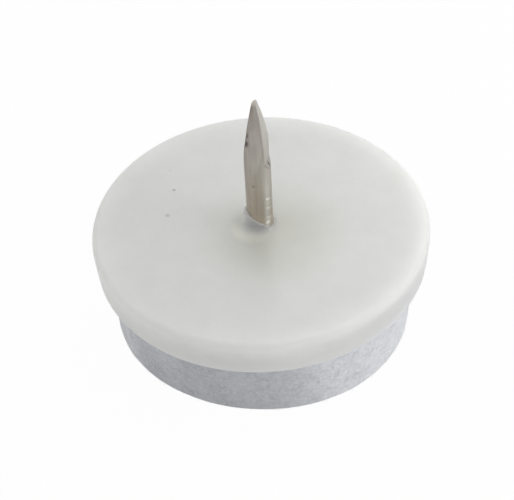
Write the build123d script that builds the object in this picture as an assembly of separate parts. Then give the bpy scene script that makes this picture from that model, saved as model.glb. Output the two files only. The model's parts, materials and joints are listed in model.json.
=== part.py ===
from build123d import *
from math import atan, degrees, radians, tan
import os

# A nail-on felt glide for a chair leg, in millimetres, standing on its felt with the nail up.
# The origin is the middle of the felt's lower face, and +Z is the nail's axis.
# -Y is the front and +X the right-hand side.

# Plastic cap
cap_diameter = 24.0
cap_draft = 2.75  # degrees, the side closes in towards its lower rim
cap_top_round = 0.5
rim_wall = 1.05  # wall between the side and the pocket for the felt, at the lower rim
rim_round = 0.2
pocket_depth = 0.8
pocket_bevel = 0.2  # lead-in at the pocket's mouth
web_over_head = 1.1  # plastic between the nail's head and the top face

# Felt disc, which fills the pocket
felt_thickness = 6.2
felt_edge_round = 0.3
felt_clearance = 0.1  # on the felt's diameter, filled by the glue

# Collar that the plastic forms round the nail's foot, cut off at a slant
collar_wall = 0.16
collar_offset = 0.08  # the collar's outside stands off the nail's axis, towards its high side
collar_flare = 0.45  # radius of the hollow foot that runs out on the top face
collar_high = 1.45
collar_low = 0.15
collar_slant = 37.5  # degrees
collar_turn = 11.0  # degrees that the high side is turned from -X towards -Y
collar_root = 0.3  # how deep the collar's solid is rooted in the cap

# Wire nail
shank_diameter = 1.85
nail_length = 12.8
head_diameter = 7.5
head_thickness = 0.8
head_bevel = 0.12
neck_cone = 0.35
head_clearance = 0.1  # on the head's diameter
bore_clearance = 0.02  # on the shank's diameter

# Notches that the gripping dies pressed across two opposite sides of the wire
grip_first = 1.35  # from the head to the lowest notch
grip_pitch = 0.86
grip_count = 4
grip_depth = 0.08
grip_width = 0.4  # at the wire's surface
grip_turn = -45.0  # degrees that the notched sides are turned from +X and -X

# Four-sided point of the nail
point_length = 6.0
point_turn = -18.0  # degrees that the facets are turned about the axis
facet_bulge = 0.07  # how far a facet bows outwards
facet_overrun = 0.02  # how far the facets run past the wire where they end

# The point's right-hand facet, which was cut deeper than the others
deep_facet_length = 5.0
deep_facet_reach = 0.7  # from the nail's axis to the facet's lower end
deep_facet_bulge = 0.2
deep_facet_run_out = 0.6  # height of the slope from the facet's lower end out to the wire

# Tip, nipped off at a slant
tip_width = 0.22
tip_bevel = 0.18  # height of the slant

# Levels that follow from the sizes above
felt_top = felt_thickness
rim_level = felt_top - pocket_depth
seat_ceiling = felt_top + head_thickness
cap_top = seat_ceiling + web_over_head
tip_level = felt_top + nail_length
shoulder_level = tip_level - point_length
deep_facet_level = tip_level - deep_facet_length

# Radii that follow: the cap is widest where its top round meets its side
side_slope = tan(radians(cap_draft))
upper_radius = cap_diameter / 2 + cap_top_round * side_slope
lower_radius = upper_radius - (cap_top - rim_level) * side_slope
pocket_radius = lower_radius - rim_wall
felt_radius = pocket_radius - felt_clearance / 2
head_radius = head_diameter / 2
seat_radius = head_radius + head_clearance / 2
shank_radius = shank_diameter / 2
bore_radius = shank_radius + bore_clearance / 2
full_reach = shank_radius + facet_overrun


def revolved_section(points, rounds=(), bevels=()):
    """Solid of revolution about Z from corners (radius, height).

    rounds and bevels are pairs: the index of a corner and the size of its round or bevel.
    """
    section = make_face(Polyline([*points, points[0]]))
    for index, radius in rounds:
        corner = section.vertices().sort_by_distance(Vector(*points[index]))[0]
        section = fillet(corner, radius)
    for index, leg in bevels:
        corner = section.vertices().sort_by_distance(Vector(*points[index]))[0]
        section = chamfer(corner, leg)
    return revolve(Plane.XZ * section, Axis.Z)


def make_felt():
    """Disc with its lower edge worn round."""
    corners = [(0, 0), (felt_radius, 0), (felt_radius, felt_top), (0, felt_top)]
    return revolved_section(corners, rounds=[(1, felt_edge_round)])


def make_collar():
    """Sleeve with a hollow foot, thicker towards its high side and cut off at a slant above a low ring."""
    sleeve_radius = bore_radius + collar_wall
    foot_radius = sleeve_radius + collar_flare
    root = cap_top - collar_root
    flare_top = cap_top + collar_flare
    sleeve_top = cap_top + collar_high + collar_flare
    outline = Polyline(
        (foot_radius, cap_top),
        (foot_radius, root),
        (0, root),
        (0, sleeve_top),
        (sleeve_radius, sleeve_top),
        (sleeve_radius, flare_top),
    )
    flare = CenterArc((foot_radius, flare_top), collar_flare, 180, 90)
    post = Pos(X=-collar_offset) * revolve(Plane.XZ * make_face(outline + flare), Axis.Z)
    sleeve = post - Pos(Z=root) * extrude(Circle(bore_radius), amount=sleeve_top - root)

    low_ring = split(sleeve, bisect_by=Plane((0, 0, cap_top + collar_low)), keep=Keep.BOTTOM)
    slant = Plane((-sleeve_radius - collar_offset, 0, cap_top + collar_high)).rotated((0, collar_slant, 0))
    slanted = split(sleeve, bisect_by=slant, keep=Keep.BOTTOM)
    return Rot(Z=collar_turn) * (low_ring + slanted)


def make_cap():
    """Moulded puck: drafted side, pocket for the felt, seat for the nail's head, bore and collar."""
    corners = [
        (bore_radius, seat_ceiling + neck_cone),
        (bore_radius, cap_top),
        (upper_radius, cap_top),
        (lower_radius, rim_level),
        (pocket_radius, rim_level),
        (pocket_radius, felt_top),
        (seat_radius, felt_top),
        (seat_radius, seat_ceiling),
        (bore_radius + neck_cone, seat_ceiling),
    ]
    side_rounds = [(2, cap_top_round), (3, rim_round)]
    body = revolved_section(corners, rounds=side_rounds, bevels=[(4, pocket_bevel)])
    return body + make_collar()


def facet_profile(reach, end_level, bulge):
    """Bowed line from the tip down to a facet's lower end, at this reach from the nail's axis."""
    waist = (tip_width / 2 + reach) / 2 + bulge
    half_way = (tip_level + end_level) / 2
    return ThreePointArc((tip_width / 2, tip_level), (waist, half_way), (reach, end_level))


def facet_pair(right, run_out=()):
    """Block over the whole nail that ends in two opposite facets, drawn across Y.

    right is the right-hand facet's line, and run_out holds the corners that follow it to the wire.
    """
    wide = head_diameter
    left = mirror(facet_profile(full_reach, shoulder_level, facet_bulge), about=Plane.YZ)
    sides = Polyline(
        right @ 1,
        *run_out,
        (wide, shoulder_level),
        (wide, 0),
        (-wide, 0),
        (-wide, shoulder_level),
        (-full_reach, shoulder_level),
    )
    tip = Line((-tip_width / 2, tip_level), (tip_width / 2, tip_level))
    profile = make_face(Wire([*right.edges(), *sides.edges(), *left.edges(), *tip.edges()]))
    return extrude(Plane.XZ * profile, amount=wide, both=True)


def grip_notches():
    """Straight V-shaped cutters, one above the other, on two opposite sides of the wire."""
    bottom = shank_radius - grip_depth
    mouth = shank_radius + grip_depth
    corners = [(bottom, 0), (mouth, grip_width), (mouth, -grip_width), (bottom, 0)]
    tooth = extrude(Plane.XZ * make_face(Polyline(corners)), amount=shank_radius, both=True)
    levels = [seat_ceiling + grip_first + row * grip_pitch for row in range(grip_count)]
    return [
        Rot(Z=grip_turn + side) * Pos(Z=level) * tooth
        for side in (0, 180)
        for level in levels
    ]


def make_nail():
    """Round wire with a flat head, a cone under it, grip notches and a long point of four bowed facets."""
    neck_radius = shank_radius + neck_cone
    neck_level = seat_ceiling + neck_cone
    corners = [
        (0, felt_top),
        (head_radius, felt_top),
        (head_radius, seat_ceiling),
        (neck_radius, seat_ceiling),
        (shank_radius, neck_level),
        (shank_radius, tip_level),
        (0, tip_level),
    ]
    blank = revolved_section(corners, bevels=[(1, head_bevel), (2, head_bevel)])

    deep_facet = facet_profile(deep_facet_reach, deep_facet_level, deep_facet_bulge)
    run_out = [(full_reach, deep_facet_level - deep_facet_run_out)]
    facet = facet_profile(full_reach, shoulder_level, facet_bulge)
    facets = facet_pair(deep_facet, run_out) & (Rot(Z=90) * facet_pair(facet))
    pointed = blank & (Rot(Z=point_turn) * facets)

    bevel_angle = degrees(atan(tip_bevel / tip_width))
    bevel = Plane((tip_width / 2, 0, tip_level)).rotated((0, -bevel_angle, 0))
    return split(pointed, bisect_by=bevel, keep=Keep.BOTTOM) - grip_notches()


pieces = {
    "plastic_cap": make_cap(),
    "nail": make_nail(),
    "felt_pad": make_felt(),
}

os.makedirs("parts", exist_ok=True)
for name, piece in pieces.items():
    piece.label = name
    export_step(piece, f"parts/{name}.step")
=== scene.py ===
"""A nail-on felt glide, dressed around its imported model. Lengths are in metres."""

import json
import math
import random

import bpy
from mathutils import Matrix, Vector, noise


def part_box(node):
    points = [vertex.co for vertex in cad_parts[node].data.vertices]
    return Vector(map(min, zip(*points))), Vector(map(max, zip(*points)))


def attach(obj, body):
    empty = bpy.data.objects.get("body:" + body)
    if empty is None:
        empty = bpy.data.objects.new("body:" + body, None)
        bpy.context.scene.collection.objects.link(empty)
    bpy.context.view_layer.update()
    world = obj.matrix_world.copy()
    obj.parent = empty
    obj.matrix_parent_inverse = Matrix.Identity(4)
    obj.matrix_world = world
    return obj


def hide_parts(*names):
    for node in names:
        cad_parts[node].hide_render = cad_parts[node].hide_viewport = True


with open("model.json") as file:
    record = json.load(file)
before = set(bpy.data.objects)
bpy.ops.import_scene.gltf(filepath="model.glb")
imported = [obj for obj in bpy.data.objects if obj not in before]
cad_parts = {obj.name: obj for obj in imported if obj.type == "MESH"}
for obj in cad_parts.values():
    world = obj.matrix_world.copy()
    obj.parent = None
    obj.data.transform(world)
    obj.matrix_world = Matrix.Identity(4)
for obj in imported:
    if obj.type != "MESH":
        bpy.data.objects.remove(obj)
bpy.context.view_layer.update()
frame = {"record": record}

MM = 0.001

# What the frame gives: corners of the pieces' boxes, and the mounts
CAP_LOW, CAP_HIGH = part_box("plastic_cap")
FELT_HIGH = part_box("felt_pad")[1]
NAIL_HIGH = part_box("nail")[1]
MOUNTS = {mount["name"]: mount for mount in frame["record"]["mounts"]}

CAP_TOP = MOUNTS["leg_seat"]["pos_m"][2]
CAP_RADIUS = CAP_HIGH.x
RIM_LEVEL = CAP_LOW.z
FELT_TOP = FELT_HIGH.z
FELT_RADIUS = FELT_HIGH.x
HEAD_RADIUS = NAIL_HIGH.x
TIP_LEVEL = NAIL_HIGH.z
SHANK_RADIUS = MOUNTS["nail_shank"]["dims"]["r_mm"] * MM

# Cap
CAP_TURNS = 240
DRAFT = math.radians(2.75)
TOP_ROUND = 0.5 * MM
RIM_ROUND = 0.2 * MM
RIM_WALL = 1.05 * MM
POCKET_BEVEL = 0.2 * MM
WEB_OVER_HEAD = 1.1 * MM
HEAD_GAP = 0.05 * MM
BORE_GAP = 0.01 * MM
NECK_CONE = 0.35 * MM
HEAD_LEVEL = CAP_TOP - WEB_OVER_HEAD

# Collar
COLLAR_WALL = 0.16 * MM
COLLAR_OFFSET = 0.08 * MM
COLLAR_FLARE = 0.45 * MM
COLLAR_HIGH = 1.45 * MM
COLLAR_LOW = 0.15 * MM
COLLAR_SLANT = math.radians(37.5)
COLLAR_TURN = math.radians(191)
COLLAR_RAGGED = 0.05 * MM
COLLAR_BLEND = 0.06 * MM  # how softly the slanted lip runs into the low ring
SLEEVE_RADIUS = SHANK_RADIUS + BORE_GAP + COLLAR_WALL

# Nail
NAIL_TURNS = 144
HEAD_BEVEL = 0.12 * MM
POINT_LENGTH = 6.0 * MM
POINT_TURN = math.radians(-18)
FACET_BULGE = 0.07 * MM
FULL_REACH = SHANK_RADIUS + 0.02 * MM
DEEP_LENGTH = 5.0 * MM  # these four are the deep facet's
DEEP_REACH = 0.70 * MM
DEEP_BULGE = 0.2 * MM
DEEP_RUN_OUT = 0.6 * MM
TIP_WIDTH = 0.22 * MM
TIP_BEVEL = 0.18 * MM
# A strip down the right side that takes the pale colour: a painted highlight of the light from the
# right, on metal that the gripping dies rubbed
RUB_AND_HIGHLIGHT_TURN = math.radians(-54)
RUB_AND_HIGHLIGHT_WIDTH = math.radians(16)
GRIP_LEVELS = [HEAD_LEVEL + (1.35 + 0.86 * row) * MM for row in range(4)]
GRIP_DEPTH = 0.035 * MM
GRIP_REACH = 0.24 * MM  # how far a notch runs up and down from its level
GRIP_TURN = math.radians(-45)
UNEVEN = 0.006 * MM

# Dents and nips on the wire: turn, level, width, height, depth, and how dark the mark in it is
BURRS = [
    (math.radians(-151), TIP_LEVEL - 2.7 * MM, 0.15 * MM, 0.24 * MM, 0.04 * MM, 0.7),
    (math.radians(-149), TIP_LEVEL - 3.35 * MM, 0.18 * MM, 0.28 * MM, 0.05 * MM, 0.8),
    # This one darkens the slope below the end of the deep facet
    (math.radians(-19), TIP_LEVEL - 5.35 * MM, 0.12 * MM, 0.5 * MM, 0.02 * MM, 0.8),
    (math.radians(-113), TIP_LEVEL - 6.85 * MM, 0.12 * MM, 0.14 * MM, 0.02 * MM, 0.4),
]

# Felt
FELT_TURNS = 480
FELT_EDGE = 0.3 * MM
LOBES = 0.14 * MM
LOBES_TURN = math.radians(77)
FIBRES = 3000
FIBRE_STEPS = 5
FIBRE_SIDES = 3


def arc(centre, radius, start, end, steps):
    """Points of an arc in a half-section, (radius, level), from one angle in degrees to another."""
    turns = [math.radians(start + (end - start) * i / steps) for i in range(steps + 1)]
    return [(centre[0] + radius * math.cos(t), centre[1] + radius * math.sin(t)) for t in turns]


def between(a, b, steps):
    """Points from a to b, both left out."""
    return [
        (a[0] + (b[0] - a[0]) * i / steps, a[1] + (b[1] - a[1]) * i / steps)
        for i in range(1, steps)
    ]


def polar(radius, turn, level):
    """Point at this distance from the nail's axis, turned from +X, at this level."""
    return Vector((radius * math.cos(turn), radius * math.sin(turn), level))


def turns_of(count):
    """Evenly spaced angles, once round."""
    return [2 * math.pi * i / count for i in range(count)]


def add_mesh(name, points, faces, look):
    """A smooth piece of these points and faces, with this material."""
    mesh = bpy.data.meshes.new(name)
    mesh.from_pydata(points, [], faces)
    mesh.validate()
    mesh.shade_smooth()
    mesh.materials.append(look)
    piece = bpy.data.objects.new(name, mesh)
    bpy.context.scene.collection.objects.link(piece)
    return piece


def band(low, high, count):
    """Faces between two rings of count points, given the number of each ring's first point."""
    faces = []
    for i in range(count):
        j = (i + 1) % count
        faces.append((low + i, low + j, high + j, high + i))
    return faces


def lathe(name, rings, look, poles=()):
    """A mesh of rings of points. It closes on a pole at each end, or else on itself."""
    count = len(rings[0])
    points = [point for ring in rings for point in ring] + list(poles)
    faces = []
    for row in range(len(rings) - 1):
        faces += band(row * count, (row + 1) * count, count)
    last = (len(rings) - 1) * count
    if not poles:
        faces += band(last, 0, count)
    else:
        first_pole = len(rings) * count
        for i in range(count):
            j = (i + 1) % count
            faces.append((j, i, first_pole))
            faces.append((last + i, last + j, first_pole + 1))
    return add_mesh(name, points, faces, look)


def ramp_down(value, start, end):
    """1 up to start, 0 from end on, and smooth between."""
    share = min(1.0, max(0.0, (end - value) / (end - start)))
    return share * share * (3 - 2 * share)


def paint(piece, name, value_at):
    """Stores a number for each point of the piece, for its material."""
    layer = piece.data.attributes.new(name, "FLOAT", "POINT")
    layer.data.foreach_set("value", [value_at(vertex.co) for vertex in piece.data.vertices])


def fix(piece, node):
    """The piece rides on the one body and stands for its node, which it hides."""
    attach(piece, "root")
    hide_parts(node)


# Plastic cap

def collar_height(turn):
    """How high the collar's lip stands above the top face at this turn."""
    drop = SLEEVE_RADIUS * (1 - math.cos(turn - COLLAR_TURN)) * math.tan(COLLAR_SLANT)
    ragged = COLLAR_RAGGED * noise.noise(Vector((math.cos(turn), math.sin(turn), 0.3)) * 3.1)
    above_ring = COLLAR_HIGH - drop + ragged - COLLAR_LOW
    return COLLAR_LOW + 0.5 * (above_ring + math.hypot(above_ring, COLLAR_BLEND))


def collar_radius(turn, height):
    """Outer radius of the collar at a turn and height: a sleeve on a hollow foot, off the axis."""
    rise = max(0.0, COLLAR_FLARE - height)
    own = SLEEVE_RADIUS + COLLAR_FLARE - math.sqrt(COLLAR_FLARE**2 - rise**2)
    along = COLLAR_OFFSET * math.cos(turn - COLLAR_TURN)
    across = COLLAR_OFFSET * math.sin(turn - COLLAR_TURN)
    return along + math.sqrt(own**2 - across**2)


def cap_section(turn):
    """Half-section of the cap at this turn, from the head's seat up the bore and round."""
    bore = SHANK_RADIUS + BORE_GAP
    slope = math.tan(DRAFT)
    upper = CAP_RADIUS + TOP_ROUND * slope
    lower = upper - (CAP_TOP - RIM_LEVEL) * slope
    pocket = lower - RIM_WALL
    seat = HEAD_RADIUS + HEAD_GAP
    lip_height = collar_height(turn)
    lip_radius = (collar_radius(turn, lip_height) - bore) / 2
    lip_centre = (bore + lip_radius, CAP_TOP + lip_height - lip_radius)

    points = [(bore + NECK_CONE, HEAD_LEVEL), (bore, HEAD_LEVEL + NECK_CONE)]
    points += between(points[-1], (bore, lip_centre[1]), 6)
    points += arc(lip_centre, lip_radius, 180, 0, 6)
    wall_steps = 16
    for step in range(1, wall_steps + 1):
        height = (lip_height - lip_radius) * (1 - step / wall_steps)
        points.append((collar_radius(turn, height), CAP_TOP + height))
    face_edge = (upper - TOP_ROUND, CAP_TOP)
    points += between(points[-1], face_edge, 24)
    points += arc((face_edge[0], CAP_TOP - TOP_ROUND), TOP_ROUND, 90, 0, 8)
    rim_corner = (lower - RIM_ROUND, RIM_LEVEL + RIM_ROUND)
    points += between(points[-1], (lower, rim_corner[1]), 8)
    points += arc(rim_corner, RIM_ROUND, 0, -90, 5)
    points += [(pocket + POCKET_BEVEL, RIM_LEVEL), (pocket, RIM_LEVEL + POCKET_BEVEL)]
    points += between(points[-1], (pocket, FELT_TOP), 3)
    points += [(pocket, FELT_TOP)]
    points += between(points[-1], (seat, FELT_TOP), 8)
    points += [(seat, FELT_TOP), (seat, HEAD_LEVEL)]
    points += between(points[-1], points[0], 5)
    return points


def thinness(point):
    """1 where the collar is a thin film on the nail, and 0 where the plastic is thick."""
    height = point.z - CAP_TOP
    film = math.hypot(point.x, point.y) - SHANK_RADIUS
    return ramp_down(film, 0.16 * MM, 0.55 * MM) * (1 - ramp_down(height, 0.08 * MM, 0.45 * MM))


def make_cap():
    """The moulded puck with its collar, closed all round."""
    turns = turns_of(CAP_TURNS)
    sections = [cap_section(turn) for turn in turns]
    rings = [
        [polar(radius, turn, level) for turn, (radius, level) in zip(turns, row)]
        for row in zip(*sections)
    ]
    cap = lathe("plastic_cap_moulding", rings, white_plastic())
    paint(cap, "thin", thinness)
    cap.data.set_sharp_from_angle(angle=math.radians(40))
    fix(cap, "plastic_cap")


# Nail

def through(start, middle, end, share):
    """Value at a share of the way along the parabola through three evenly spaced values."""
    return (
        start * (1 - share) * (1 - 2 * share)
        + middle * 4 * share * (1 - share)
        + end * share * (2 * share - 1)
    )


def facet_distance(side, below_tip):
    """Distance from the axis to one of the four facets.

    The first was cut deeper and slopes out to the wire below its end.
    """
    length, reach, bulge = POINT_LENGTH, FULL_REACH, FACET_BULGE
    if side == 0:
        length, reach, bulge = DEEP_LENGTH, DEEP_REACH, DEEP_BULGE
    waist = (TIP_WIDTH / 2 + reach) / 2 + bulge
    distance = through(TIP_WIDTH / 2, waist, reach, min(1.0, below_tip / length))
    run_out = max(0.0, below_tip - length) / DEEP_RUN_OUT * (FULL_REACH - DEEP_REACH)
    return min(distance + run_out, FULL_REACH)


def dent(turn, level, at_turn, at_level, width, height):
    """A smooth bump's shape on the shank: 1 at its middle, and fading to 0 round it."""
    across = SHANK_RADIUS * math.remainder(turn - at_turn, 2 * math.pi) / width
    along = (level - at_level) / height
    return math.exp(-across * across - along * along)


def shank_surface(turn, level):
    """Radius of the wire at a turn and level.

    It is round, cut by the facets and the grip notches, dented, and a little uneven. A flat cut
    reaches only what faces it.
    """
    radius = SHANK_RADIUS
    if TIP_LEVEL - level < POINT_LENGTH:
        for side in range(4):
            facing = math.cos(turn - POINT_TURN - side * math.pi / 2)
            if facing > 0.05:
                radius = min(radius, facet_distance(side, TIP_LEVEL - level) / facing)
    for row in GRIP_LEVELS:
        for side in (0, math.pi):
            facing = math.cos(turn - GRIP_TURN - side)
            if facing > 0.5:
                worn = ramp_down(abs(level - row), 0, GRIP_REACH)
                radius = min(radius, (SHANK_RADIUS - GRIP_DEPTH * worn) / facing)
    for at_turn, at_level, width, height, depth, _ in BURRS:
        radius -= depth * dent(turn, level, at_turn, at_level, width, height)
    at = Vector((math.cos(turn), math.sin(turn), level / (3 * MM))) * 1.7
    return radius + UNEVEN * noise.noise(at)


def on_deep_facet(point):
    """1 on the deep facet and the slope below it, 0 elsewhere."""
    below_tip = TIP_LEVEL - point.z
    if below_tip > DEEP_LENGTH + DEEP_RUN_OUT:
        return 0.0
    facing = math.cos(math.atan2(point.y, point.x) - POINT_TURN)
    gap = math.hypot(point.x, point.y) * facing - facet_distance(0, below_tip)
    return ramp_down(abs(gap), 0.02 * MM, 0.06 * MM)


def brightness(point):
    """How much of the metal takes the pale colour: painted highlight and reflection, and partly
    rubbed metal.

    A little goes on the deep facet, as painted reflection of the light from the right. More goes on
    a strip down the right side, more so low down: a painted highlight of that light on metal that
    the gripping dies rubbed.
    """
    low = ramp_down(point.z, CAP_TOP + 1 * MM, CAP_TOP + 6 * MM)
    away = math.remainder(math.atan2(point.y, point.x) - RUB_AND_HIGHLIGHT_TURN, 2 * math.pi)
    away /= RUB_AND_HIGHLIGHT_WIDTH * (1.5 - 0.5 * low)
    rub_and_highlight = math.exp(-away * away) * (0.42 + 0.38 * low)
    below_point = ramp_down(point.z, TIP_LEVEL - 5 * MM, TIP_LEVEL - 3.6 * MM)
    deep = on_deep_facet(point)
    return deep * 0.2 + (1 - deep) * rub_and_highlight * below_point


def tarnish(point):
    """How dark the point is.

    It darkens towards the tip, and more so to the left as painted shade on the side away from the
    light. The deep facet and the nipped end are not darkened, and the slope below the deep facet is
    dark with painted shade.
    """
    height = point.z - (TIP_LEVEL - POINT_LENGTH)
    rise = 0.45 * (1 - ramp_down(height, -0.5 * MM, 4.0 * MM))
    near_tip = 0.25 * (1 - ramp_down(height, 3.6 * MM, 5.4 * MM))
    below_end = ramp_down(height, 5.5 * MM, 5.85 * MM)
    turn = math.atan2(point.y, point.x)
    to_left = 0.75 + 0.5 * ramp_down(turn, math.radians(-150), math.radians(-90))
    deep = on_deep_facet(point)
    slope = 0.5 * deep if point.z < TIP_LEVEL - DEEP_LENGTH else 0.0
    return (rise + near_tip) * to_left * (1 - deep) * below_end + slope


def nail_levels():
    """Levels of the shank's rings, closest together at the tip."""
    levels = []
    level = HEAD_LEVEL + NECK_CONE
    while level < TIP_LEVEL - 0.01 * MM:
        levels.append(level)
        level += 0.025 * MM if level > TIP_LEVEL - 1.2 * MM else 0.05 * MM
    return levels + [TIP_LEVEL]


def make_nail():
    """The wire nail: head, cone, shank and point, with the tip nipped off at a slant."""
    turns = turns_of(NAIL_TURNS)
    head = [
        (HEAD_RADIUS / 2, FELT_TOP),
        (HEAD_RADIUS - HEAD_BEVEL, FELT_TOP),
        (HEAD_RADIUS, FELT_TOP + HEAD_BEVEL),
        (HEAD_RADIUS, HEAD_LEVEL - HEAD_BEVEL),
        (HEAD_RADIUS - HEAD_BEVEL, HEAD_LEVEL),
        (SHANK_RADIUS + NECK_CONE, HEAD_LEVEL),
    ]
    rings = [[polar(radius, turn, level) for turn in turns] for radius, level in head]
    for level in nail_levels():
        ring = [polar(shank_surface(turn, level), turn, level) for turn in turns]
        for point in ring:
            across = point.x * math.cos(POINT_TURN) + point.y * math.sin(POINT_TURN)
            slant = TIP_LEVEL + (across - TIP_WIDTH / 2) * TIP_BEVEL / TIP_WIDTH
            point.z = min(point.z, slant)
        rings.append(ring)
    foot = Vector((0, 0, FELT_TOP))
    top = sum(rings[-1], Vector()) / len(turns)
    nail = lathe("wire_nail", rings, steel(), poles=(foot, top))
    # Store the painted highlight, and the painted shade and darkening, on the points
    paint(nail, "bright", brightness)
    paint(nail, "tarnish", tarnish)
    nail.data.set_sharp_from_angle(angle=math.radians(24))
    fix(nail, "nail")


# Felt

def felt_shift(point):
    """How far the felt's side stands out here: it is not quite round and has clumps of fibre."""
    turn = math.atan2(point.y, point.x)
    lobes = LOBES * math.sin(3 * (turn + LOBES_TURN))
    coarse = noise.noise(point / (2.2 * MM))
    fine = noise.noise(point / (0.5 * MM) + Vector((7, 3, 1)))
    fade = ramp_down(point.z, RIM_LEVEL - 0.9 * MM, RIM_LEVEL)
    return fade * (lobes + 0.03 * MM * coarse + 0.012 * MM * fine)


def make_felt():
    """The felt disc, with its lower edge worn round."""
    edge_centre = (FELT_RADIUS - FELT_EDGE, FELT_EDGE)
    spokes = [(FELT_RADIUS * i / 30, 0) for i in range(1, 30)]
    section = [spoke for spoke in spokes if spoke[0] < edge_centre[0]]
    section += arc(edge_centre, FELT_EDGE, -90, 0, 6)
    section += between(section[-1], (FELT_RADIUS, FELT_TOP), 46)
    section += [(FELT_RADIUS, FELT_TOP)]
    section += between(section[-1], (0, FELT_TOP), 12)
    rings = []
    for radius, level in section:
        ring = []
        for turn in turns_of(FELT_TURNS):
            point = polar(radius, turn, level)
            if radius > FELT_RADIUS * 0.5:
                share = (radius / FELT_RADIUS) ** 8
                shift = share * felt_shift(polar(FELT_RADIUS, turn, level))
                point = polar(radius + shift, turn, level)
            ring.append(point)
        rings.append(ring)
    poles = (Vector((0, 0, 0)), Vector((0, 0, FELT_TOP)))
    felt = lathe("felt_disc", rings, grey_felt(), poles=poles)
    fix(felt, "felt_pad")


def fibre_rings(rng):
    """Rings of points along one short loose fibre, which lies in or on the felt's side."""
    turn = rng.uniform(0, 2 * math.pi)
    level = rng.uniform(0.15 * MM, RIM_LEVEL - 0.1 * MM)
    heading = rng.uniform(0, 2 * math.pi)
    bend = rng.uniform(-1.5, 1.5)
    length = rng.uniform(0.25, 1.0) * MM
    thick = rng.uniform(0.003, 0.006) * MM
    lift = rng.uniform(0.0, 0.02) * MM
    rings = []
    for step in range(FIBRE_STEPS + 1):
        share = step / FIBRE_STEPS
        surface = FELT_RADIUS + felt_shift(polar(FELT_RADIUS, turn, level))
        centre = polar(surface + lift * math.sin(math.pi * share) + 0.004 * MM, turn, level)
        normal = polar(1, turn, 0)
        along = polar(math.cos(heading), turn + math.pi / 2, math.sin(heading))
        side = normal.cross(along)
        slim = thick * (0.35 + 0.65 * math.sin(math.pi * min(0.97, max(0.03, share))))
        rings.append([
            centre + (normal * math.cos(spin) + side * math.sin(spin)) * slim
            for spin in turns_of(FIBRE_SIDES)
        ])
        turn += math.cos(heading) * length / FIBRE_STEPS / FELT_RADIUS
        level += math.sin(heading) * length / FIBRE_STEPS
        level = min(max(level, 0.06 * MM), RIM_LEVEL - 0.05 * MM)
        heading += bend / FIBRE_STEPS
    return rings


def make_fibres():
    """Loose fibres all over the felt's side, as one piece."""
    rng = random.Random(4)
    points, faces = [], []
    for _ in range(FIBRES):
        start = len(points)
        for ring in fibre_rings(rng):
            points += ring
        end = len(points) - FIBRE_SIDES
        for low in range(start, end, FIBRE_SIDES):
            faces += band(low, low + FIBRE_SIDES, FIBRE_SIDES)
        faces.append(tuple(reversed(range(start, start + FIBRE_SIDES))))
        faces.append(tuple(range(end, end + FIBRE_SIDES)))
    fibres = add_mesh("felt_fibres", points, faces, grey_fibre())
    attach(fibres, "root")


# Materials

# Specks of dirt on the top face: x, y and radius in millimetres, and how dark
SPECKS = [
    (-6.16, 3.87, 0.16, 0.55),
    (-6.62, 1.17, 0.24, 0.30),
    (-6.46, 6.07, 0.14, 0.15),
    (3.01, 3.57, 0.10, 0.12),
    (4.60, 0.52, 0.12, 0.12),
]


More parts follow.
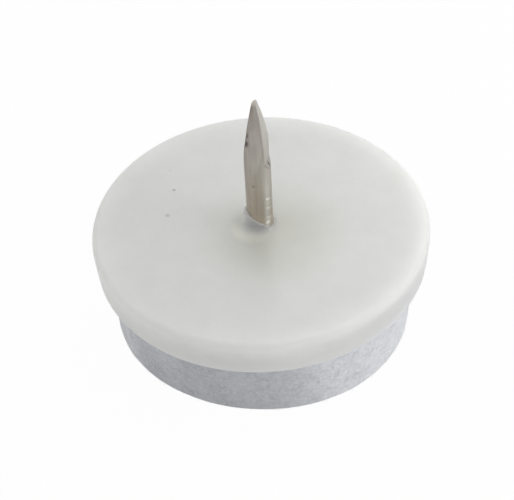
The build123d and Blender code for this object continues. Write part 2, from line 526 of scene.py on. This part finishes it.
class Nodes:
    """Builds the node tree of one material, or of the world, round its shader."""

    def __init__(self, name, world=False):
        kind = bpy.data.worlds if world else bpy.data.materials
        self.material = kind.new(name)
        self.material.use_nodes = True
        self.tree = self.material.node_tree
        self.shader = self.tree.nodes["Background" if world else "Principled BSDF"]

    def node(self, kind, **settings):
        """A new node with these properties."""
        made = self.tree.nodes.new(kind)
        for key, value in settings.items():
            setattr(made, key, value)
        return made

    def put(self, value, socket):
        """Links a value that is a socket, and sets any other."""
        if isinstance(value, bpy.types.NodeSocket):
            self.tree.links.new(value, socket)
        else:
            socket.default_value = value

    def set(self, values, node=None):
        """Gives a node's inputs, by default the shader's, these values by name."""
        for name, value in values.items():
            self.put(value, (node or self.shader).inputs[name])

    def mapped(self, scale, location=(0, 0, 0)):
        """The object's own coordinates, scaled and then moved."""
        mapping = self.node("ShaderNodeMapping")
        coords = self.node("ShaderNodeTexCoord").outputs["Object"]
        self.set({"Vector": coords, "Scale": scale, "Location": location}, mapping)
        return mapping.outputs["Vector"]

    def painted(self, name):
        """A number that is stored for each point of the mesh."""
        return self.node("ShaderNodeAttribute", attribute_name=name).outputs["Fac"]

    def noise(self, scale, detail=3.0, roughness=0.5, stretch=(1, 1, 1)):
        """Noise in the object's own space; scale is in waves per metre."""
        texture = self.node("ShaderNodeTexNoise")
        values = {"Scale": scale, "Detail": detail, "Roughness": roughness}
        self.set({"Vector": self.mapped(stretch), **values}, texture)
        return texture.outputs["Fac"]

    def ramp(self, source, stops):
        """Colour ramp over a value; stops are (position, colour)."""
        ramp = self.node("ShaderNodeValToRGB")
        elements = ramp.color_ramp.elements
        while len(elements) < len(stops):
            elements.new(0.5)
        for element, (position, colour) in zip(elements, stops):
            element.position = position
            element.color = (*colour, 1)
        self.put(source, ramp.inputs["Fac"])
        return ramp.outputs["Color"]

    def level(self, source, low, high, to_low=0.0, to_high=1.0, smooth=False):
        """Maps a value from one range to another, held at the ends."""
        made = self.node("ShaderNodeMapRange")
        made.interpolation_type = "SMOOTHSTEP" if smooth else "LINEAR"
        ends = {"From Min": low, "From Max": high, "To Min": to_low, "To Max": to_high}
        self.set({"Value": source, **ends}, made)
        return made.outputs["Result"]

    def math(self, operation, a, b):
        """Sum, product or the like of two values."""
        made = self.node("ShaderNodeMath", operation=operation)
        self.put(a, made.inputs[0])
        self.put(b, made.inputs[1])
        return made.outputs[0]

    def mix(self, share, a, b, blend="MIX"):
        """Mix of two colours; each may be a socket or a colour."""
        made = self.node("ShaderNodeMix", data_type="RGBA", blend_type=blend)
        self.put(share, made.inputs[0])
        for colour, socket in ((a, made.inputs[6]), (b, made.inputs[7])):
            self.put((*colour, 1) if isinstance(colour, tuple) else colour, socket)
        return made.outputs[2]

    def tint(self, colour, share, factor):
        """The colour times the factor where share is 0, and unchanged where it is 1."""
        shade = self.ramp(share, [(0.0, factor), (1.0, (1, 1, 1))])
        return self.mix(1.0, colour, shade, "MULTIPLY")

    def distance(self, point, squash=(1, 1, 1)):
        """Distance from a point of the object, in metres, in a space scaled by squash."""
        length = self.node("ShaderNodeVectorMath", operation="LENGTH")
        moved = [-c * s for c, s in zip(point, squash)]
        self.put(self.mapped(squash, moved), length.inputs[0])
        return length.outputs["Value"]

    def spot(self, colour, point, radii, strength, stain, squash=(1, 1, 1)):
        """The colour with a soft spot of stain: full up to the first radius, none at the second."""
        away = self.distance(point, squash)
        share = self.level(away, *radii, strength, 0.0, smooth=True)
        return self.mix(share, colour, stain)

    def bump(self, height, distance, strength, under=None):
        """Normals of a surface that a value raises by up to distance, on top of others."""
        made = self.node("ShaderNodeBump")
        self.set({"Height": height, "Distance": distance, "Strength": strength}, made)
        if under is not None:
            self.put(under, made.inputs["Normal"])
        return made.outputs["Normal"]


def seen_rays(m):
    """1 for what the eye sees, straight, reflected or through the film, and 0 for what lights."""
    path = m.node("ShaderNodeLightPath").outputs
    seen = m.math("MAXIMUM", path["Is Camera Ray"], path["Is Glossy Ray"])
    return m.math("MAXIMUM", seen, path["Is Transmission Ray"])


def white_plastic():
    """Milky plastic, with painted shade and painted light near the nail and on the side, and a
    painted highlight. The number painted as thin is 1 where it is a film on the nail.
    """
    m = Nodes("white_plastic_look")
    mottle = m.noise(420, detail=6, roughness=0.7)
    colour = m.ramp(mottle, [(0.3, (0.692, 0.697, 0.672)), (0.7, (0.732, 0.737, 0.716))])

    # Painted shade over the nail's head, where it shows through, and in front of the nail, and
    # painted light round the nail's foot
    head = m.distance((0.8 * MM, -1.2 * MM, 0), squash=(1, 1, 0))
    colour = m.tint(colour, m.level(head, 0.6 * MM, 6.4 * MM, smooth=True), (0.84, 0.845, 0.79))
    foot = m.distance((-0.6 * MM, -0.75 * MM, 0), squash=(1, 1, 0))
    colour = m.tint(colour, m.level(foot, 0.5 * MM, 1.75 * MM, smooth=True), (1.50, 1.48, 1.39))

    # Painted light on the side's left and painted shade on its right, from left to right
    below_top = m.distance((0, 0, CAP_TOP), squash=(0, 0, 1))
    from_left = m.distance((-CAP_RADIUS, 0, 0), squash=(1, 0, 0))
    to_right = m.level(from_left, 12 * MM, 23 * MM, smooth=True)
    side = m.ramp(to_right, [(0, (1.15, 1.15, 1.14)), (1, (0.86, 0.86, 0.88))])
    down = m.level(below_top, 0.02 * MM, 0.5 * MM, smooth=True)
    colour = m.mix(down, colour, m.mix(1.0, colour, side, "MULTIPLY"))

    for x, y, radius, dark in SPECKS:
        radii = (radius * 0.3 * MM, radius * MM)
        colour = m.spot(colour, (x * MM, y * MM, CAP_TOP), radii, dark, (0.12, 0.11, 0.09))
    thin = m.painted("thin")
    colour = m.mix(thin, colour, (0.95, 0.935, 0.87))
    # A painted highlight beside the nail's foot
    glint = (0.62 * MM, -0.97 * MM, CAP_TOP + 0.1 * MM)
    colour = m.spot(colour, glint, (0.04 * MM, 0.2 * MM), 0.9, (0.97, 0.96, 0.93))

    at_edge = m.level(below_top, 0.0, 0.1 * MM, 0.0, 0.25)
    rough = m.math("ADD", m.level(m.noise(900), 0.3, 0.7, 0.29, 0.35), at_edge)
    waves = m.bump(m.noise(450, detail=2), 0.02 * MM, 0.6)
    m.set({
        "Base Color": colour,
        "Roughness": m.math("ADD", rough, m.math("MULTIPLY", thin, 0.45)),
        "Transmission Weight": m.math("MULTIPLY", thin, 0.12),
        "Subsurface Weight": 1.0,
        "Subsurface Radius": (1.0, 1.0, 0.97),
        "Subsurface Scale": 3.0 * MM,
        "IOR": 1.5,
        "Normal": m.bump(m.noise(5200, detail=2), 0.002 * MM, 0.5, under=waves),
    })
    return m.material


def steel():
    """Drawn wire, brown low down and stained at the nips, with painted highlight, reflection and
    shade.

    The number painted as bright is 1 where the pale painted highlight and reflection is fullest,
    and the painted darkening, partly painted shade, is 1 on the darkest.
    """
    m = Nodes("steel_look")
    streaks = m.noise(4200, detail=4, stretch=(1, 1, 0.05))
    patches = m.noise(700, detail=5, stretch=(1, 1, 0.6))
    blotches = m.noise(1500, detail=5, stretch=(1, 1, 0.35))
    grey = m.ramp(streaks, [(0.3, (0.37, 0.36, 0.33)), (0.7, (0.45, 0.44, 0.405))])
    tan = m.ramp(streaks, [(0.3, (0.49, 0.40, 0.31)), (0.7, (0.62, 0.52, 0.41))])
    highlight_and_clean = m.ramp(streaks, [(0.3, (0.62, 0.61, 0.58)), (0.7, (0.74, 0.73, 0.70))])

    above_cap = m.distance((0, 0, CAP_TOP), squash=(0, 0, 1))
    low = m.level(above_cap, 1.0 * MM, 5.5 * MM, 0.9, 0.25)
    brown = m.math("MULTIPLY", m.level(patches, 0.35, 0.65, 0.4, 1.0), low)
    colour = m.mix(brown, grey, tan)
    # Pale with painted highlight and reflection, and dark with painted shade and the point's
    # darkening
    colour = m.mix(m.painted("bright"), colour, highlight_and_clean)
    darkening = m.math("MULTIPLY", m.painted("tarnish"), m.level(blotches, 0.3, 0.7, 0.65, 1.35))
    colour = m.mix(darkening, colour, (0.19, 0.16, 0.155))

    for turn, level, width, height, _, dark in BURRS:
        at = polar(shank_surface(turn, level), turn, level)
        radii = (0.2 * width, 1.4 * width)
        squash = (1, 1, width / height)
        colour = m.spot(colour, at, radii, dark, (0.06, 0.045, 0.045), squash)
    # A painted highlight low on the pale strip
    glint = polar(SHANK_RADIUS, RUB_AND_HIGHLIGHT_TURN, CAP_TOP + 0.6 * MM)
    colour = m.spot(colour, glint, (0.05 * MM, 0.26 * MM), 0.9, (0.97, 0.96, 0.92))

    m.set({
        "Base Color": colour,
        "Metallic": 1.0,
        "Roughness": m.level(m.noise(1500, detail=3), 0.3, 0.7, 0.34, 0.5),
        "Normal": m.bump(
            m.noise(2600, detail=3), 0.01 * MM, 0.35, under=m.bump(streaks, 0.012 * MM, 0.5)
        ),
    })
    return m.material


def grey_felt():
    """Pale grey felt with fine flecks, and painted light that makes it paler to the right and at
    the extreme left.
    """
    m = Nodes("grey_felt_look")
    clumps = m.noise(420, detail=6, roughness=0.65)
    base = m.ramp(clumps, [(0.35, (0.495, 0.505, 0.54)), (0.65, (0.60, 0.61, 0.645))])
    flecks = m.level(m.noise(3600, detail=4, roughness=0.6), 0.42, 0.68, 0.0, 0.68)
    fresh = m.mix(flecks, base, (0.70, 0.71, 0.745))
    # Painted light: the felt is made paler to the right and at the extreme left
    painted_light = m.mix(1.0, fresh, (1.28, 1.28, 1.27), "MULTIPLY")
    from_left = m.distance((-CAP_RADIUS, 0, 0), squash=(1, 0, 0))
    at_left = m.level(from_left, 1.8 * MM, 3.6 * MM, 0.9, 0.0, smooth=True)
    at_right = m.level(from_left, 12 * MM, 17 * MM, 0.0, 0.9, smooth=True)

    tufts = m.bump(m.noise(1500, detail=4), 0.04 * MM, 0.35)
    fine = m.noise(7000, detail=4, roughness=0.7)
    m.set({
        "Base Color": m.mix(m.math("MAXIMUM", at_left, at_right), fresh, painted_light),
        "Roughness": 0.95,
        "Specular IOR Level": 0.2,
        "Sheen Weight": 1.0,
        "Sheen Roughness": 0.4,
        "Normal": m.bump(fine, 0.015 * MM, 0.5, under=tufts),
    })
    return m.material


def grey_fibre():
    """The loose fibres, paler than the felt."""
    m = Nodes("grey_fibre_look")
    tone = m.noise(1900, detail=1)
    m.set({
        "Base Color": m.ramp(tone, [(0.3, (0.60, 0.61, 0.64)), (0.7, (0.72, 0.73, 0.75))]),
        "Roughness": 0.8,
        "Specular IOR Level": 0.25,
    })
    return m.material


def white_floor():
    """White paper that keeps the object's shadow, lightened for the eye and for reflections."""
    m = Nodes("white_floor")
    m.set({
        "Base Color": (FLOOR_GREY, FLOOR_GREY, FLOOR_GREY, 1),
        "Roughness": 1.0,
        "Specular IOR Level": 0.0,
    })
    glow = m.node("ShaderNodeEmission")
    m.set({"Color": (1, 1, 1, 1)}, glow)
    mix = m.node("ShaderNodeMixShader")
    m.put(m.math("MULTIPLY", seen_rays(m), FLOOR_GLOW), mix.inputs[0])
    m.put(m.shader.outputs["BSDF"], mix.inputs[1])
    m.put(glow.outputs["Emission"], mix.inputs[2])
    m.put(mix.outputs["Shader"], m.tree.nodes["Material Output"].inputs["Surface"])
    return m.material


# Floor, light and camera

FLOOR_GREY = 0.87
FLOOR_GLOW = 0.97  # how much of the floor that is seen is plain white
FLOOR_RADIUS = 0.6
FLOOR_GAP = 0.01 * MM  # keeps the floor clear of the felt's lower face
SKY = 0.40  # level of the world's light, which itself is seen as 1

# Lamps: name, direction, distance, size, and the level that it gives a white surface facing it
LAMPS = [
    ("key_lamp", (0.36, 0.40, 0.85), 0.09, 0.09, 0.30),
    ("right_lamp", (0.93, -0.3, 0.30), 0.20, 0.16, 0.45),
    ("front_lamp", (-0.3, -0.75, 0.6), 0.25, 0.20, 0.06),
    ("left_lamp", (-0.9, 0.0, 0.45), 0.25, 0.20, 0.14),
    ("back_lamp", (0.05, 0.6, 0.8), 0.30, 0.26, 0.08),
]


def make_floor():
    """A round plain floor under the felt."""
    ring = [polar(FLOOR_RADIUS, turn, -FLOOR_GAP) for turn in turns_of(96)]
    floor = add_mesh("floor", ring, [tuple(range(len(ring)))], white_floor())


def make_world():
    """Even light from all round."""
    m = Nodes("studio", world=True)
    bpy.context.scene.world = m.material
    strength = m.level(seen_rays(m), 0.0, 1.0, SKY, 1.0)
    m.set({"Color": (1, 1, 1, 1), "Strength": strength})


def add_lamp(name, direction, distance, size, level):
    """A round soft lamp that points at the origin."""
    data = bpy.data.lights.new(name, "AREA")
    data.shape = "DISK"
    data.size = size
    area = math.pi * (size / 2) ** 2
    # A disc of this radiance gives the level radiance * area / (pi * distance^2) at the origin,
    # and its power is pi * area * radiance
    radiance = level * math.pi * distance**2 / area
    data.energy = radiance * math.pi * area
    lamp = bpy.data.objects.new(name, data)
    bpy.context.scene.collection.objects.link(lamp)
    towards = Vector(direction).normalized()
    lamp.location = towards * distance
    lamp.rotation_mode = "QUATERNION"
    lamp.rotation_quaternion = towards.to_track_quat("Z", "Y")


# The camera as the photograph was taken, from a fit of its outline at 514 by 500 pixels
PHOTO_WIDTH = 514
FOCAL_PIXELS = 1400
CAMERA_TARGET = Vector((-0.36, 0, 5.27)) * MM
CAMERA_DISTANCE = 101.5 * MM
CAMERA_ELEVATION = math.radians(44.26)
CAMERA_ROLL = math.radians(-3.33)


def make_camera():
    """A camera that looks at the target from the front, rolled a little."""
    data = bpy.data.cameras.new("camera")
    camera = bpy.data.objects.new("camera", data)
    bpy.context.scene.collection.objects.link(camera)
    data.sensor_width = 36
    data.lens = data.sensor_width * FOCAL_PIXELS / PHOTO_WIDTH
    data.clip_start = 0.005
    data.clip_end = 5
    back = Vector((0, -math.cos(CAMERA_ELEVATION), math.sin(CAMERA_ELEVATION)))
    right = Vector((1, 0, 0))
    up = back.cross(right)
    turned_right = right * math.cos(CAMERA_ROLL) + up * math.sin(CAMERA_ROLL)
    turned_up = up * math.cos(CAMERA_ROLL) - right * math.sin(CAMERA_ROLL)
    turn = Matrix((turned_right, turned_up, back)).transposed().to_4x4()
    camera.matrix_world = Matrix.Translation(CAMERA_TARGET + back * CAMERA_DISTANCE) @ turn
    bpy.context.scene.camera = camera


make_cap()
make_nail()
make_felt()
make_fibres()
make_floor()
make_world()
for lamp in LAMPS:
    add_lamp(*lamp)
make_camera()
bpy.context.scene.view_settings.view_transform = "Standard"
